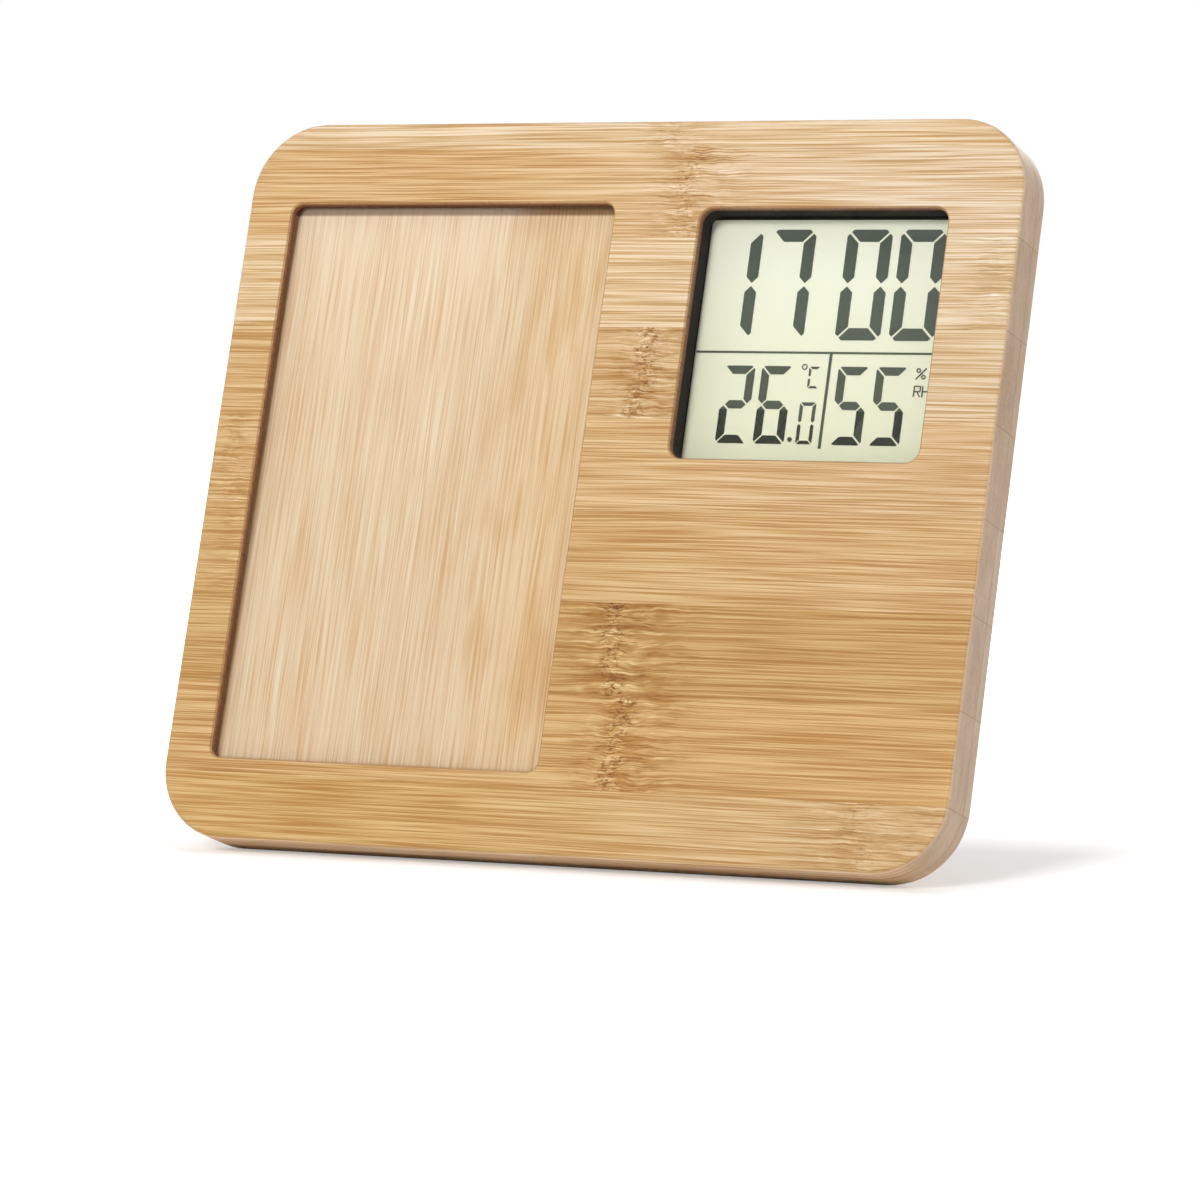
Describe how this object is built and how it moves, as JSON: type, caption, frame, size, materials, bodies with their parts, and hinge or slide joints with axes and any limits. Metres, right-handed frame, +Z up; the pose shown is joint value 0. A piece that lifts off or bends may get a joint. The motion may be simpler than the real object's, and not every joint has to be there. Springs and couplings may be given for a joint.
{
  "type": "photo frame clock",
  "caption": "Leaning bamboo desk frame with an upright photo window, a digital clock display and a folding rear stand",
  "frame": {"origin": "centre of the overall box in X and Y, on the surface it stands on", "axes": "+X right seen from the front, +Y to the back, +Z up"},
  "size_m": [0.18, 0.0746, 0.1537],
  "materials": {
    "bamboo": "satin, carbonised bamboo with fine grain",
    "pale_bamboo": "unfinished pale bamboo",
    "acrylic": "clear and polished",
    "display_glass": "clear with polariser",
    "reflector": "pale green reflective rear glass",
    "segment_ink": "dark liquid-crystal segments",
    "elastomer": "soft contact strip",
    "black_plastic": "black moulding",
    "button_grey": "dark grey moulding",
    "circuit_green": "green circuit board",
    "chip_black": "black resin",
    "sensor_white": "white housing",
    "battery_sleeve": "printed sleeve, left plain",
    "nickel": "nickel plated spring strip",
    "steel": "zinc plated",
    "brass": "plain brass",
    "rubber": "black rubber"
  },
  "bodies": {
    "frame": {"front_panel": "bamboo", "rear_panel": "bamboo", "photo_pane": "acrylic", "backing_board": "pale_bamboo", "turn_button_screws": "steel", "display_shell": "black_plastic", "lcd_front_glass": "display_glass", "lcd_segments": "segment_ink", "lcd_rear_glass": "reflector", "elastomer_strips": "elastomer", "circuit_board": "circuit_green", "controller_chip": "chip_black", "quartz_crystal": "steel", "humidity_sensor": "sensor_white", "sounder": "brass", "tact_switches": "chip_black", "battery": "battery_sleeve", "positive_contact": "nickel", "negative_contact": "nickel", "rear_cover": "black_plastic", "cover_screws": "steel", "ear_screws": "steel", "fixed_hinge_leaf": "brass", "fixed_leaf_screws": "brass"},
    "leg": {"stand_leg": "bamboo", "leg_pad": "rubber", "moving_hinge_leaf": "brass", "moving_leaf_screws": "brass", "hinge_pin": "steel"},
    "door": {"battery_door": "black_plastic"},
    "turn_tab_top_left": {"turn_button_top_left": "steel"},
    "turn_tab_top_right": {"turn_button_top_right": "steel"},
    "turn_tab_bottom_left": {"turn_button_bottom_left": "steel"},
    "turn_tab_bottom_right": {"turn_button_bottom_right": "steel"},
    "push_1": {"button_1": "button_grey", "switch_plunger_1": "button_grey"},
    "push_2": {"button_2": "button_grey", "switch_plunger_2": "button_grey"},
    "push_3": {"button_3": "button_grey", "switch_plunger_3": "button_grey"},
    "push_4": {"button_4": "button_grey", "switch_plunger_4": "button_grey"}
  },
  "joints": [
    {"name": "stand_hinge", "type": "hinge", "parent": "frame", "child": "leg", "pos_m": [0.0077, 0.00474, 0.0896], "axis": [1, 0, 0], "range_deg": [-34.5, 0]},
    {"name": "turn_button_top_left_swing", "type": "hinge", "parent": "frame", "child": "turn_tab_top_left", "pos_m": [-0.0646, 0.01475, 0.14151], "axis": [0, 0.9529, -0.3032], "range_deg": [-90, 90]},
    {"name": "turn_button_top_right_swing", "type": "hinge", "parent": "frame", "child": "turn_tab_top_right", "pos_m": [-0.0166, 0.01475, 0.14151], "axis": [0, 0.9529, -0.3032], "range_deg": [-90, 90]},
    {"name": "turn_button_bottom_left_swing", "type": "hinge", "parent": "frame", "child": "turn_tab_bottom_left", "pos_m": [-0.0646, -0.027, 0.0103], "axis": [0, 0.9529, -0.3032], "range_deg": [-90, 90]},
    {"name": "turn_button_bottom_right_swing", "type": "hinge", "parent": "frame", "child": "turn_tab_bottom_right", "pos_m": [-0.0166, -0.027, 0.0103], "axis": [0, 0.9529, -0.3032], "range_deg": [-90, 90]},
    {"name": "button_1_press", "type": "slide", "parent": "frame", "child": "push_1", "axis": [0, -0.9529, 0.3032], "range_m": [0, 0.0005], "stiffness_N_per_m": 800},
    {"name": "button_2_press", "type": "slide", "parent": "frame", "child": "push_2", "axis": [0, -0.9529, 0.3032], "range_m": [0, 0.0005], "stiffness_N_per_m": 800},
    {"name": "button_3_press", "type": "slide", "parent": "frame", "child": "push_3", "axis": [0, -0.9529, 0.3032], "range_m": [0, 0.0005], "stiffness_N_per_m": 800},
    {"name": "button_4_press", "type": "slide", "parent": "frame", "child": "push_4", "axis": [0, -0.9529, 0.3032], "range_m": [0, 0.0005], "stiffness_N_per_m": 800},
    {"name": "battery_door_slide", "type": "slide", "parent": "frame", "child": "door", "axis": [1, 0, 0], "range_m": [0, 0.008]}
  ]
}
